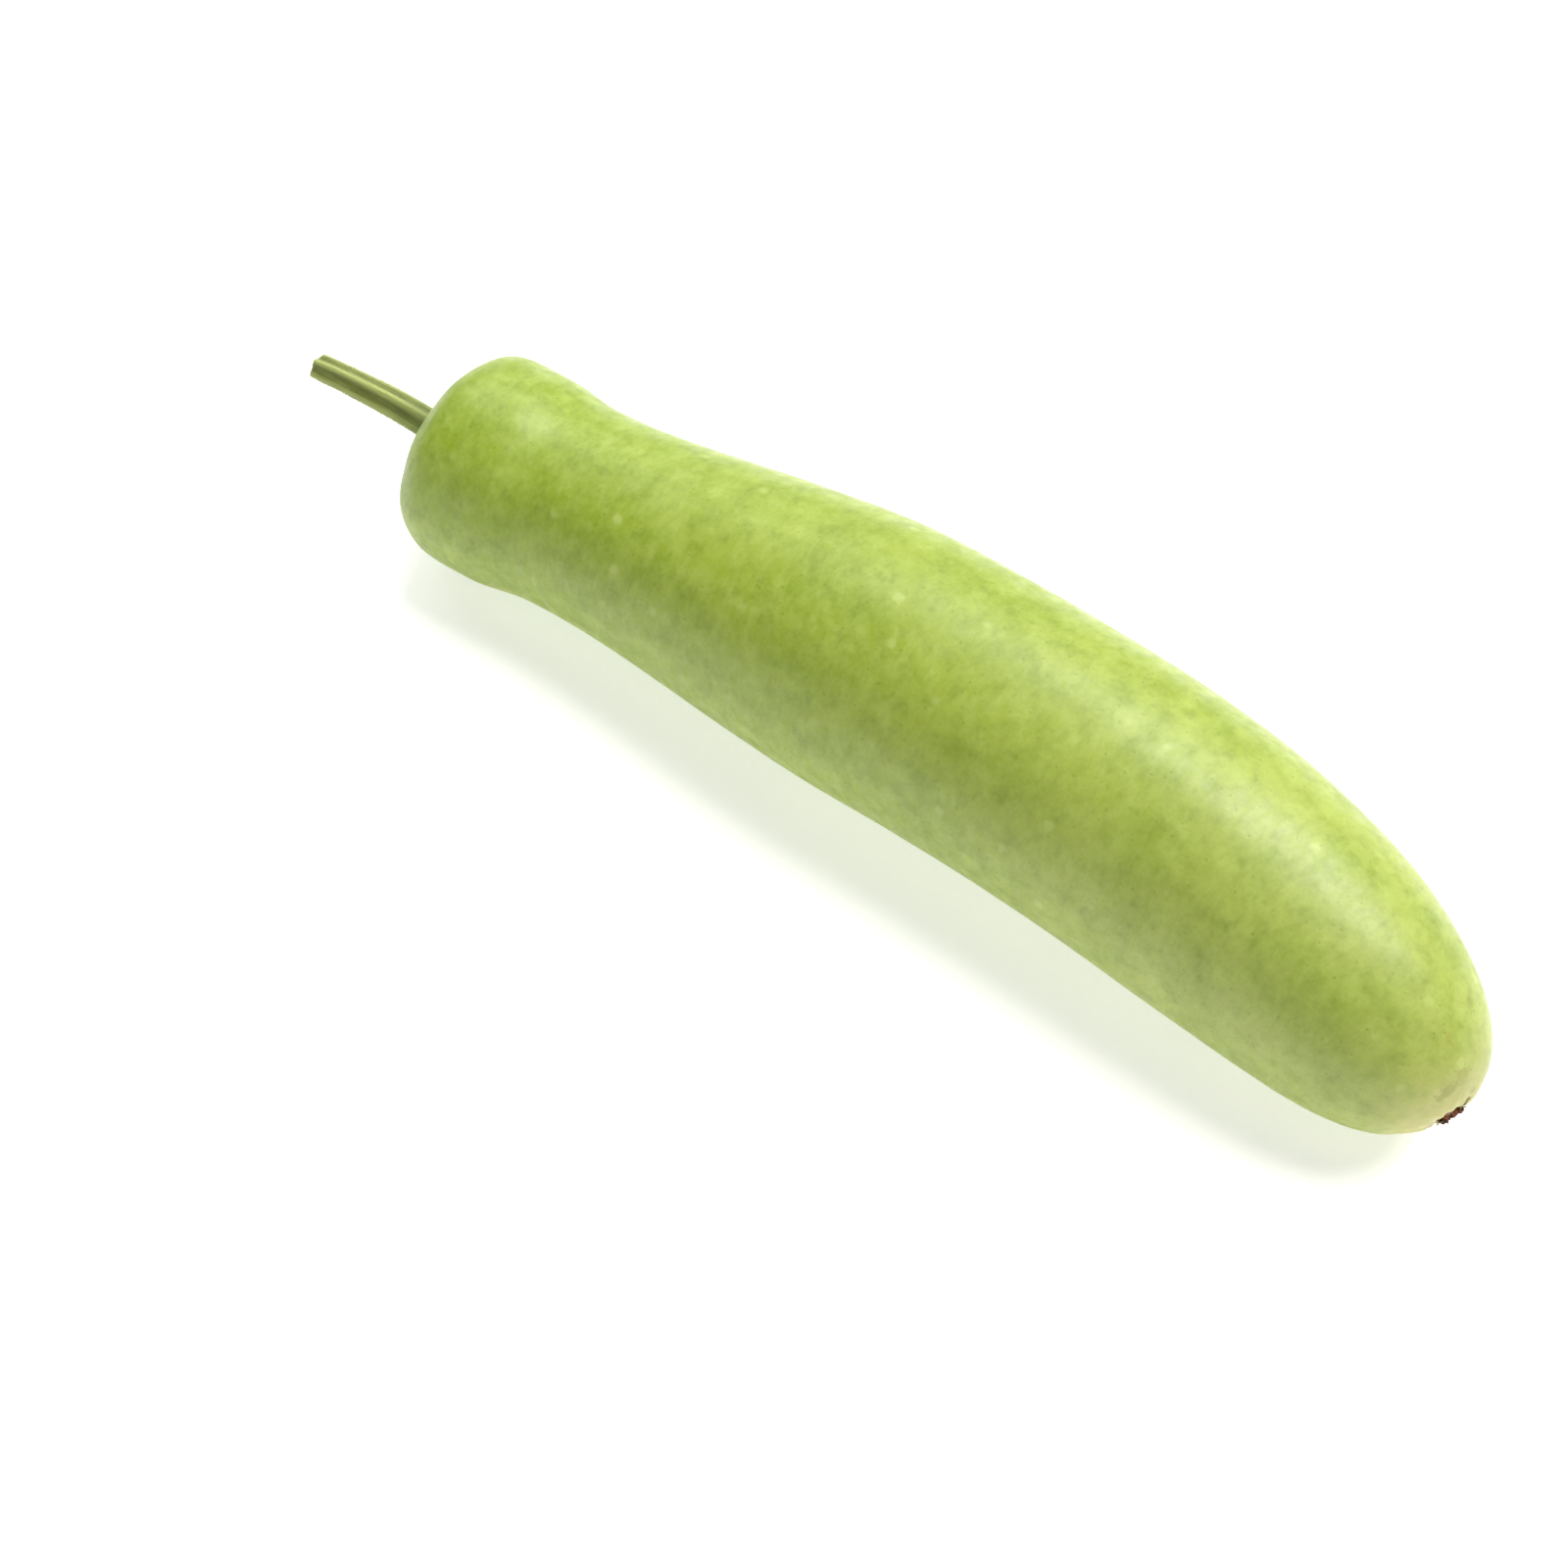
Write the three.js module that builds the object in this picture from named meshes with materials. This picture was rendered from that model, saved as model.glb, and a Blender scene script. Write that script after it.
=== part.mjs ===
// Bottle gourd (Lagenaria siceraria), as picked, lying at rest on a level surface.
// Millimetres, +Z up. +X runs from the stem end to the blossom end; the origin is on the
// surface that the gourd lies on, under the middle of its outline.
//
// Each piece is a turned shape bent along a curve. The curves lie in one upright "bend
// plane" (local XY) while the shapes are made, and the whole gourd is then rolled and
// tipped into the attitude in which it comes to rest.
import * as THREE from "three";
import { mergeVertices } from "three/addons/utils/BufferGeometryUtils.js";

// ---- Driving dimensions: millimetres, angles in degrees ----

// The fruit's axis: a straight chord between its ends, and a handle at each end that says
// how far and how much to the side the axis sets out from there.
const chord = 359.5;
const stemHandle = { along: 70, aside: 1.5 };
const blossomHandle = { along: 103.3, aside: 46 };

// Radii, and how far along the axis from the stem end each one is reached.
const shoulderRadius = 33.1;
const neckRadius = 31;
const bellyRadius = 40.6;
const shoulderAt = 30;
const neckAt = 49;
const bellyAt = 163;

// Round ends: how far each one reaches along the axis, how square its corner is, and how
// flat its crown is (2 and 2 make an ellipse).
const stemEnd = { reach: 23.1, corner: 3.5, crown: 2.3 };
const blossomEnd = { reach: 139.5, corner: 2.76, crown: 2.76 };

// The attitude at rest, and how deep the flat spot that the gourd lies on cuts into it.
const bowRoll = 41;
const tip = 1.2;
const flatSpotDepth = 0.8;

// The stem (peduncle): ribbed, wider where it joins the fruit, cut off square.
const stemLength = 48.6;
const stemBaseRadius = 5.9;
const stemShaftRadius = 5.2;
const stemCutRadius = 4.5;
const stemFlareLength = 7;
const stemCutBevel = 0.4;
const stemSweep = 4.1;
const ribCount = 5;
const ribDepth = 0.6;
const ribTurn = 36; // turns the ribs about the stem

// The dried remains of the blossom: a low withered ring, hollow in the middle.
const scarRadius = 5.6;
const scarHeight = 2.3;
const scarHollowDepth = 1.1;
const petalCount = 5;
const petalDepth = 0.7;

const jointGap = 0.3; // between the fruit and each piece that grows on it

// How finely the surfaces are divided.
const fruitRings = 72;
const fruitSides = 48;
const stemSides = 40;
const stemRings = 10;
const stemRingCrowding = 1.5; // above 1 brings the stem's rings closer together at its base
const scarSides = 40;
const curveSamples = 400;
const weldDistance = 1e-4;

// ---- The fruit's axis ----

const axis = new THREE.CubicBezierCurve3(
  new THREE.Vector3(0, 0, 0),
  new THREE.Vector3(stemHandle.along, stemHandle.aside, 0),
  new THREE.Vector3(chord - blossomHandle.along, blossomHandle.aside, 0),
  new THREE.Vector3(chord, 0, 0),
);
axis.arcLengthDivisions = curveSamples;
const axisLength = axis.getLength();

// ---- Outlines: points of (radius, distance along the curve) ----

// From 0 at a rounded end to 1 where the rounding stops, along a superellipse.
function endRounding(distance, end) {
  const inside = Math.max(0, 1 - distance / end.reach);
  return (1 - inside ** end.corner) ** (1 / end.crown);
}

function fruitRadius(along) {
  const { smoothstep } = THREE.MathUtils;
  const body =
    shoulderRadius +
    (neckRadius - shoulderRadius) * smoothstep(along, shoulderAt, neckAt) +
    (bellyRadius - neckRadius) * smoothstep(along, neckAt, bellyAt);
  return body * endRounding(along, stemEnd) * endRounding(axisLength - along, blossomEnd);
}

// Rings crowd together at both ends, where the outline turns in to the axis.
function fruitOutline() {
  const points = [];
  for (let ring = 0; ring <= fruitRings; ring++) {
    const along = axisLength * THREE.MathUtils.smootherstep(ring / fruitRings, 0, 1);
    points.push(new THREE.Vector2(fruitRadius(along), along));
  }
  return points;
}

function stemOutline() {
  const points = [new THREE.Vector2(0, 0)];
  const shaftEnd = stemLength - stemCutBevel;
  for (let ring = 0; ring <= stemRings; ring++) {
    const along = shaftEnd * (ring / stemRings) ** stemRingCrowding;
    const flare = 1 - THREE.MathUtils.smoothstep(along, 0, stemFlareLength);
    const shaft = THREE.MathUtils.lerp(stemShaftRadius, stemCutRadius, along / shaftEnd);
    points.push(new THREE.Vector2(shaft + (stemBaseRadius - stemShaftRadius) * flare, along));
  }
  points.push(new THREE.Vector2(stemCutRadius - stemCutBevel, stemLength));
  points.push(new THREE.Vector2(0, stemLength));
  return points;
}

// Out along the base, up round a thick rim, and in and down to the floor of the hollow.
function scarOutline() {
  const hollowFloor = 1 - scarHollowDepth / scarHeight;
  const shares = [
    [0, 0],
    [0.8, 0],
    [1, 0.35],
    [0.95, 0.75],
    [0.75, 1],
    [0.55, 0.8],
    [0.25, hollowFloor],
    [0, hollowFloor],
  ];
  return shares.map(([out, up]) => new THREE.Vector2(out * scarRadius, up * scarHeight));
}

// ---- Making a solid from an outline and a curve ----

// Draws the radius in between evenly spaced lobes, in proportion to how far out a point is.
function lobed(geometry, count, depth, fullRadius) {
  const position = geometry.getAttribute("position");
  for (let i = 0; i < position.count; i++) {
    const x = position.getX(i);
    const z = position.getZ(i);
    const valley = (1 - Math.cos(count * Math.atan2(x, z))) / 2;
    const drawnIn = 1 - (depth / fullRadius) * valley;
    position.setX(i, x * drawnIn);
    position.setZ(i, z * drawnIn);
  }
  return geometry;
}

// Bends a shape turned about Y so that its Y axis follows a curve of the bend plane.
// Y is a true distance along the curve.
function bentAlong(geometry, curve) {
  const length = curve.getLength();
  const position = geometry.getAttribute("position");
  const offPlane = new THREE.Vector3(0, 0, 1);
  for (let i = 0; i < position.count; i++) {
    const share = THREE.MathUtils.clamp(position.getY(i) / length, 0, 1);
    const tangent = curve.getTangentAt(share);
    const aside = new THREE.Vector3().crossVectors(tangent, offPlane);
    const point = curve
      .getPointAt(share)
      .addScaledVector(aside, position.getX(i))
      .addScaledVector(offPlane, position.getZ(i));
    position.setXYZ(i, point.x, point.y, point.z);
  }
  return geometry;
}

function closedSolid(geometry) {
  geometry.deleteAttribute("normal");
  geometry.deleteAttribute("uv");
  return mergeVertices(geometry, weldDistance);
}

// ---- Pieces, in the bend plane ----

function fruitGeometry() {
  return bentAlong(closedSolid(new THREE.LatheGeometry(fruitOutline(), fruitSides)), axis);
}

// The stem sets out along the fruit's axis and sweeps a little to the hollow side.
function stemGeometry() {
  const outward = axis.getTangentAt(0).negate();
  const base = axis.getPointAt(0).addScaledVector(outward, jointGap);
  const offPlane = new THREE.Vector3(0, 0, 1);
  const sweep = THREE.MathUtils.degToRad(stemSweep);
  const toCut = outward.clone().applyAxisAngle(offPlane, sweep);
  const path = new THREE.QuadraticBezierCurve3(
    base,
    base.clone().addScaledVector(outward, stemLength / 2),
    base.clone().addScaledVector(toCut, stemLength),
  );
  const turned = closedSolid(new THREE.LatheGeometry(stemOutline(), stemSides));
  const ribbed = lobed(turned, ribCount, ribDepth, stemCutRadius);
  return bentAlong(ribbed.rotateY(THREE.MathUtils.degToRad(ribTurn)), path);
}

function scarGeometry() {
  const outward = axis.getTangentAt(1);
  const base = axis.getPointAt(1).addScaledVector(outward, jointGap);
  const path = new THREE.LineCurve3(base, base.clone().addScaledVector(outward, scarHeight));
  const turned = closedSolid(new THREE.LatheGeometry(scarOutline(), scarSides));
  return bentAlong(lobed(turned, petalCount, petalDepth, scarRadius), path);
}

// ---- Coming to rest ----

const atRest = new THREE.Matrix4()
  .makeRotationY(THREE.MathUtils.degToRad(tip))
  .multiply(new THREE.Matrix4().makeRotationX(THREE.MathUtils.degToRad(bowRoll)));

function lowest(geometry) {
  geometry.computeBoundingBox();
  return geometry.boundingBox.min.z;
}

// Everything below the level becomes part of one flat spot at the level.
function flattenedBelow(geometry, level) {
  const position = geometry.getAttribute("position");
  for (let i = 0; i < position.count; i++) {
    position.setZ(i, Math.max(position.getZ(i), level));
  }
  return geometry;
}

// ---- Assembly ----

const skinFinish = new THREE.MeshStandardMaterial({ color: 0x9fb850, roughness: 0.42, metalness: 0 });
const stemFinish = new THREE.MeshStandardMaterial({ color: 0x8d9a45, roughness: 0.75, metalness: 0 });
const scarFinish = new THREE.MeshStandardMaterial({ color: 0x4a2a16, roughness: 0.9, metalness: 0 });

function piece(name, geometry, finish) {
  const mesh = new THREE.Mesh(geometry, finish);
  mesh.name = name;
  return mesh;
}

const fruit = fruitGeometry().applyMatrix4(atRest);
const surfaceLevel = lowest(fruit) + flatSpotDepth;

const gourd = new THREE.Group();
gourd.add(piece("fruit", flattenedBelow(fruit, surfaceLevel), skinFinish));
gourd.add(piece("stem", stemGeometry().applyMatrix4(atRest), stemFinish));
gourd.add(piece("blossom_scar", scarGeometry().applyMatrix4(atRest), scarFinish));

const outline = new THREE.Box3().setFromObject(gourd);
const middle = outline.getCenter(new THREE.Vector3());
gourd.position.set(-middle.x, -middle.y, -surfaceLevel);

export default gourd;
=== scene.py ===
# %% [markdown]
# # A bottle gourd, as picked, at rest
# The gourd is three things that grew together: the fruit, the stem it hung from, and the
# dried remains of its blossom at the far end. Nothing on it moves, so all three ride on one
# body. This lesson grows each of them from a written rule, with Geometry Nodes, and gives
# each its own finish. Everything is in metres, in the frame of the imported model.

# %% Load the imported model
import math

import bpy
import numpy as np
from mathutils import Matrix, Vector


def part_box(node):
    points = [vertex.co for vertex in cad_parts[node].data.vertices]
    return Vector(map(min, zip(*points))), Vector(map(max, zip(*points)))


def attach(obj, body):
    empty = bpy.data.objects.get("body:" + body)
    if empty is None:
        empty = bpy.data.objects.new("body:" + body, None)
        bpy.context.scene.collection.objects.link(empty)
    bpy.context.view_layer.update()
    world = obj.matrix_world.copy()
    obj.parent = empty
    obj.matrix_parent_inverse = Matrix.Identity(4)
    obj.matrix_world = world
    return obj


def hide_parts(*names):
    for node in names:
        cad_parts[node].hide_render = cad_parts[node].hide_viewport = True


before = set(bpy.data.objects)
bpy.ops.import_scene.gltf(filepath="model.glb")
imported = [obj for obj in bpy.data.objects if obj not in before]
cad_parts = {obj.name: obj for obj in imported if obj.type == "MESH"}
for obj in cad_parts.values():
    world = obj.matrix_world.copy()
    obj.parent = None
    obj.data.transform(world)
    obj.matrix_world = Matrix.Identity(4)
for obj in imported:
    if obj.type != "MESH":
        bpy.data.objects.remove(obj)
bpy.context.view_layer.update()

MM = 0.001

# %% [markdown]
# ## Writing recipes down
# A node tree can be dragged together by hand or written in a script. Written down, it reads
# like a recipe and comes out the same every time. A few short helpers keep it readable: one
# adds a step and feeds its sockets, the others are the sums that the rules below use. The
# same helpers serve shapes (Geometry Nodes) and finishes (shader nodes).

# %% A recipe and its helpers
SOCKETS = {float: "NodeSocketFloat", int: "NodeSocketInt", Vector: "NodeSocketVector"}


def find(sockets, name):
    return next(s for s in sockets if s.name == name and s.enabled and not s.is_unavailable)


class Recipe:
    """One node tree as it is written down, step by step."""

    def __init__(self, tree):
        self.tree = tree

    def feed(self, socket, value):
        if isinstance(value, bpy.types.NodeSocket):
            self.tree.links.new(value, socket)
        else:
            socket.default_value = value

    def step(self, kind, feeds=None, **options):
        node = self.tree.nodes.new(kind)
        for option, value in options.items():
            setattr(node, option, value)
        for name, value in (feeds or {}).items():
            self.feed(find(node.inputs, name), value)
        return node

    def sum(self, operation, *values):
        node = self.step("ShaderNodeMath", operation=operation)
        for socket, value in zip(node.inputs, values):
            self.feed(socket, value)
        return node.outputs[0]

    def vector(self, operation, *values, scale=None):
        node = self.step("ShaderNodeVectorMath", operation=operation)
        for socket, value in zip(node.inputs, values):
            self.feed(socket, value)
        if scale is not None:
            self.feed(find(node.inputs, "Scale"), scale)
        return node.outputs["Value" if operation in ("LENGTH", "DOT_PRODUCT") else "Vector"]

    def parts(self, vector):
        return self.step("ShaderNodeSeparateXYZ", {"Vector": vector}).outputs

    def joined(self, x, y, z):
        return self.step("ShaderNodeCombineXYZ", {"X": x, "Y": y, "Z": z}).outputs[0]

    def eased(self, value, start, end, low=0.0, high=1.0, kind="SMOOTHSTEP"):
        """From low to high as the value goes from start to end, and level outside."""
        feeds = {"Value": value, "From Min": start, "From Max": end, "To Min": low, "To Max": high}
        node = self.step("ShaderNodeMapRange", feeds, interpolation_type=kind)
        return find(node.outputs, "Result")

    def clouds(self, place, grain, detail=2.0, roughness=0.5):
        """Soft random clouds about one grain across, from -1 to 1."""
        feeds = {"Vector": place, "Scale": 1 / grain, "Detail": detail, "Roughness": roughness}
        fog = self.step("ShaderNodeTexNoise", feeds).outputs[0]
        return self.sum("MULTIPLY_ADD", fog, 2.0, -1.0)

    def total(self, *values):
        result = values[0]
        for value in values[1:]:
            result = self.sum("ADD", result, value)
        return result

    def product(self, *values):
        result = values[0]
        for value in values[1:]:
            result = self.sum("MULTIPLY", result, value)
        return result

    def here(self):
        """Where each point of the shape is."""
        return self.step("GeometryNodeInputPosition").outputs[0]

    def kept(self, name):
        """The place that each point remembers under a name."""
        kind = "GeometryNodeInputNamedAttribute"
        node = self.step(kind, {"Name": name}, data_type="FLOAT_VECTOR")
        return find(node.outputs, "Attribute")

    def from_middle(self, x, y):
        """How far a point is from the middle, and at what angle."""
        squares = self.sum("ADD", self.sum("MULTIPLY", x, x), self.sum("MULTIPLY", y, y))
        return self.sum("POWER", squares, 0.5), self.sum("ARCTAN2", y, x)

    def on_circle(self, distance, angle):
        """The other way round: the x and y of a point at this distance and angle."""
        x = self.sum("MULTIPLY", distance, self.sum("COSINE", angle))
        return x, self.sum("MULTIPLY", distance, self.sum("SINE", angle))

    def latitude(self, height):
        """From 0 at a ball's low pole to half a turn at its high pole."""
        lowness = self.sum("MULTIPLY", height, -1.0)
        lowness = self.sum("MAXIMUM", self.sum("MINIMUM", lowness, 1.0), -1.0)
        return self.sum("ARCCOSINE", lowness)

    def chosen(self, low, high, seed, kind="FLOAT"):
        """A random value between two others, with a seed of its own."""
        feeds = {"Min": low, "Max": high, "Seed": seed}
        return find(self.step("FunctionNodeRandomValue", feeds, data_type=kind).outputs, "Value")


def shape_recipe(name, sizes, materials=(), geometries=()):
    """An empty Geometry Nodes tree with a named input for every size."""
    tree = bpy.data.node_groups.new(name, "GeometryNodeTree")
    for label in geometries:
        tree.interface.new_socket(label, in_out="INPUT", socket_type="NodeSocketGeometry")
    for label, size in sizes.items():
        kind = SOCKETS[type(size)]
        tree.interface.new_socket(label, in_out="INPUT", socket_type=kind).default_value = size
    for label in materials:
        tree.interface.new_socket(label, in_out="INPUT", socket_type="NodeSocketMaterial")
    tree.interface.new_socket("Mesh", in_out="OUTPUT", socket_type="NodeSocketGeometry")
    recipe = Recipe(tree)
    return recipe, recipe.step("NodeGroupInput").outputs


def finish_recipe(recipe, mesh, material=None):
    """Every tree that makes a piece ends in Realize Instances and Set Material."""
    if material is not None:
        mesh = recipe.step("GeometryNodeSetShadeSmooth", {"Geometry": mesh}).outputs[0]
        mesh = recipe.step("GeometryNodeRealizeInstances", {"Geometry": mesh}).outputs[0]
        feeds = {"Geometry": mesh, "Material": material}
        mesh = recipe.step("GeometryNodeSetMaterial", feeds).outputs[0]
    recipe.step("NodeGroupOutput", {"Mesh": mesh})


def grown_mesh(recipe, sizes):
    """Runs a recipe and gives its result as a plain mesh, with no modifier left on it."""
    holder = bpy.data.objects.new("growing", bpy.data.meshes.new("growing"))
    bpy.context.scene.collection.objects.link(holder)
    modifier = holder.modifiers.new("recipe", "NODES")
    modifier.node_group = recipe.tree
    for socket in recipe.tree.interface.items_tree:
        if socket.in_out == "INPUT" and socket.name in sizes:
            modifier[socket.identifier] = sizes[socket.name]
    evaluated = holder.evaluated_get(bpy.context.evaluated_depsgraph_get())
    mesh = bpy.data.meshes.new_from_object(evaluated)
    bpy.data.objects.remove(holder)
    return mesh


def corners(mesh):
    points = np.empty(len(mesh.vertices) * 3)
    mesh.vertices.foreach_get("co", points)
    points = points.reshape(-1, 3)
    return points.min(axis=0), points.max(axis=0)


# %% [markdown]
# ## The line the gourd grew along
# A gourd that grows on the ground lies on its side and bends. Its middle line is one Bezier
# curve: a straight chord between the two ends, and a handle at each end for the direction in
# which the line sets out. Every piece is first made straight, growing along Z, and then laid
# along its own line. That step is a small node group of its own, because all three use it.

# %% The middle line
chord = 359.5 * MM
line_ends = {
    "Stem End": Vector((0, 0, 0)),
    "Stem Handle": Vector((70 * MM, 1.5 * MM, 0)),
    "Blossom Handle": Vector((chord - 103.3 * MM, 46 * MM, 0)),
    "Blossom End": Vector((chord, 0, 0)),
}
stem_outward = (line_ends["Stem End"] - line_ends["Stem Handle"]).normalized()
blossom_outward = (line_ends["Blossom End"] - line_ends["Blossom Handle"]).normalized()
print("the gourd sets out along", [round(part, 3) for part in -stem_outward])
print("and ends along", [round(part, 3) for part in blossom_outward])

# %% Laying a straight shape along a line
laying, given = shape_recipe("lay_along_line", {}, geometries=("Straight", "Line"))
straight = laying.parts(laying.here())
line_length = laying.step("GeometryNodeCurveLength", {"Curve": given["Line"]}).outputs[0]
on_line = laying.sum("MINIMUM", laying.sum("MAXIMUM", straight["Z"], 0.0), line_length)
line_point = laying.step(
    "GeometryNodeSampleCurve", {"Curves": given["Line"], "Length": on_line}, mode="LENGTH",
    use_all_curves=True,
).outputs
ahead = line_point["Tangent"]
off_plane = Vector((0, 0, 1))
aside = laying.vector("CROSS_PRODUCT", ahead, off_plane)
past_the_end = laying.sum("SUBTRACT", straight["Z"], on_line)
laid = line_point["Position"]
for direction, amount in (
    (off_plane, straight["X"]),
    (aside, straight["Y"]),
    (ahead, past_the_end),
):
    laid = laying.vector("ADD", laid, laying.vector("SCALE", direction, scale=amount))
bent = laying.step("GeometryNodeSetPosition", {"Geometry": given["Straight"], "Position": laid})
finish_recipe(laying, bent.outputs[0])
print("laying a shape along a line takes", len(laying.tree.nodes), "steps")


def lay_along(recipe, mesh, line):
    group = recipe.step("GeometryNodeGroup", node_tree=laying.tree)
    recipe.feed(group.inputs["Straight"], mesh)
    recipe.feed(group.inputs["Line"], line)
    return group.outputs["Mesh"]


def remember(recipe, mesh, name, value, kind="FLOAT_VECTOR"):
    """Keeps a value on every point, so that the finish can follow the shape."""
    feeds = {"Geometry": mesh, "Name": name, "Value": value}
    return recipe.step("GeometryNodeStoreNamedAttribute", feeds, data_type=kind).outputs[0]


def raised(recipe, mesh, height):
    """Moves the surface out along its own normal."""
    outward = recipe.step("GeometryNodeInputNormal").outputs[0]
    offset = recipe.vector("SCALE", outward, scale=height)
    return recipe.step("GeometryNodeSetPosition", {"Geometry": mesh, "Offset": offset}).outputs[0]


# %% [markdown]
# ## The fruit
# The fruit is a round shape whose radius follows a rule: a shoulder at the stem end, a
# slight neck, a belly, and a long round blossom end. It could be sculpted or subdivided from
# a cage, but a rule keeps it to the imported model's sizes. A sphere is the raw material,
# because its poles are already closed: each point's latitude becomes a distance along the
# line and its longitude stays. A real fruit is never quite round, so soft swellings, faint
# flutes and shallow dents are then raised out of the surface, with a tight collar where the
# stem joins and a puckered ring round the dried blossom.

# %% The fruit's sizes
fruit_sizes = {
    **line_ends,
    "Sides": 200,
    "Rings": 380,
    "Shoulder Radius": 33.1 * MM,
    "Neck Radius": 31 * MM,
    "Belly Radius": 40.6 * MM,
    "Shoulder At": 30 * MM,
    "Neck At": 49 * MM,
    "Belly At": 163 * MM,
    "Stem End Reach": 23.1 * MM,
    "Stem End Corner": 3.5,
    "Stem End Flatness": 2.3,
    "Blossom End Reach": 139.5 * MM,
    "Blossom End Corner": 2.76,
    "Blossom End Flatness": 2.76,
    "Swelling": 0.45 * MM,
    "Flutes": 0.12 * MM,
    "Dents": 0.09 * MM,
    "Ripples": 0.035 * MM,
    "Collar": 0.9 * MM,
    "Pucker": 0.8 * MM,
}
line_steps = 400
print("the fruit's rule has", len(fruit_sizes), "named sizes")

# %% How the fruit's relief is spread
swelling_grain, dent_grain, ripple_grain = 48 * MM, 13 * MM, 6 * MM
flute_count, flute_wander, flute_wander_grain = 9.0, 2.2, 90 * MM
wrinkle_count, wrinkle_wander, wrinkle_wander_grain = 13.0, 3.0, 6 * MM
collar_lobes, lobe_height, lobe_middle = 5.0, 0.22, 0.9
# Off the middle line: where each thing begins and is full, or begins to fade and is gone.
flutes_begin = (8 * MM, 26 * MM)
collar_rises, collar_fades = (3.8 * MM, 5.3 * MM), (6.2 * MM, 13 * MM)
pucker_rises, pucker_fades = (4.2 * MM, 7.2 * MM), (7.5 * MM, 15 * MM)
wrinkles_fade = (5 * MM, 13 * MM)
# The same, but from the stem end for the collar and from the blossom end for the pucker.
collar_ends, pucker_ends = (6 * MM, 14 * MM), (8 * MM, 18 * MM)
# Heights, as shares of the collar's and the pucker's own.
collar_dip, pucker_dip, wrinkle_height = -0.3, -0.6, 0.28
print("the collar is full", round(collar_rises[1] / MM, 1), "mm off the middle line")

# %% The fruit's recipe
fruit_recipe, given = shape_recipe("gourd_fruit", fruit_sizes, materials=("Skin",))
r = fruit_recipe
line = r.step(
    "GeometryNodeCurvePrimitiveBezierSegment",
    {
        "Resolution": line_steps,
        "Start": given["Stem End"],
        "Start Handle": given["Stem Handle"],
        "End Handle": given["Blossom Handle"],
        "End": given["Blossom End"],
    },
    mode="POSITION",
).outputs[0]
length = r.step("GeometryNodeCurveLength", {"Curve": line}).outputs[0]
ball_feeds = {"Segments": given["Sides"], "Rings": given["Rings"], "Radius": 1.0}
ball = r.step("GeometryNodeMeshUVSphere", ball_feeds).outputs[0]
x, y, z = r.parts(r.here())
around = r.sum("ARCTAN2", y, x)
along = r.eased(r.latitude(z), 0.0, math.pi, 0.0, length, kind="SMOOTHERSTEP")
from_blossom = r.sum("SUBTRACT", length, along)


def end_rounding(distance, end):
    """A superellipse: from 0 at the very end to 1 where the rounding stops."""
    reached = r.sum("DIVIDE", distance, given[end + " Reach"])
    inside = r.sum("MAXIMUM", r.sum("SUBTRACT", 1.0, reached), 0.0)
    square = r.sum("SUBTRACT", 1.0, r.sum("POWER", inside, given[end + " Corner"]))
    power = r.sum("DIVIDE", 1.0, given[end + " Flatness"])
    return r.sum("POWER", r.sum("MAXIMUM", square, 0.0), power)


shoulder_to_neck = r.eased(
    along, given["Shoulder At"], given["Neck At"], given["Shoulder Radius"], given["Neck Radius"]
)
widening = r.sum("SUBTRACT", given["Belly Radius"], given["Neck Radius"])
neck_to_belly = r.eased(along, given["Neck At"], given["Belly At"], 0.0, widening)
radius = r.sum("ADD", shoulder_to_neck, neck_to_belly)
for distance, end in ((along, "Stem End"), (from_blossom, "Blossom End")):
    radius = r.product(radius, end_rounding(distance, end))
straight_point = r.joined(*r.on_circle(radius, around), along)
mesh = r.step("GeometryNodeSetPosition", {"Geometry": ball, "Position": straight_point}).outputs[0]
mesh = remember(r, mesh, "grown", r.here())
mesh = lay_along(r, mesh, line)

# %% Swellings, flutes, dents and ripples
grown = r.kept("grown")
grown_x, grown_y, grown_z = r.parts(grown)
off_axis, turn = r.from_middle(grown_x, grown_y)
to_blossom = r.sum("SUBTRACT", length, grown_z)
swelling = r.product(r.clouds(grown, swelling_grain, detail=1.0), given["Swelling"])
wander = r.product(r.clouds(grown, flute_wander_grain, detail=0.0), flute_wander)
flute_wave = r.sum("COSINE", r.sum("MULTIPLY_ADD", turn, flute_count, wander))
flutes = r.product(flute_wave, given["Flutes"], r.eased(off_axis, *flutes_begin))
dents = r.product(r.clouds(grown, dent_grain, detail=1.5), given["Dents"])
ripples = r.product(r.clouds(grown, ripple_grain, detail=1.0), given["Ripples"])


def ring_round_end(rises, fades, dip):
    """A low ring round the middle line, with a dip inside it."""
    inside = r.eased(off_axis, *rises, dip, 1.0)
    return r.product(inside, r.eased(off_axis, *fades, 1.0, 0.0))


# %% The collar and the pucker
# Flesh rises in a ring against the stem, in five faint lobes, and dips under it.
ring = ring_round_end(collar_rises, collar_fades, collar_dip)
lobe_wave = r.sum("COSINE", r.product(turn, collar_lobes))
lobes = r.sum("MULTIPLY_ADD", lobe_wave, lobe_height, lobe_middle)
near_stem = r.eased(grown_z, *collar_ends, 1.0, 0.0)
collar = r.product(ring, lobes, given["Collar"], near_stem)
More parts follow.
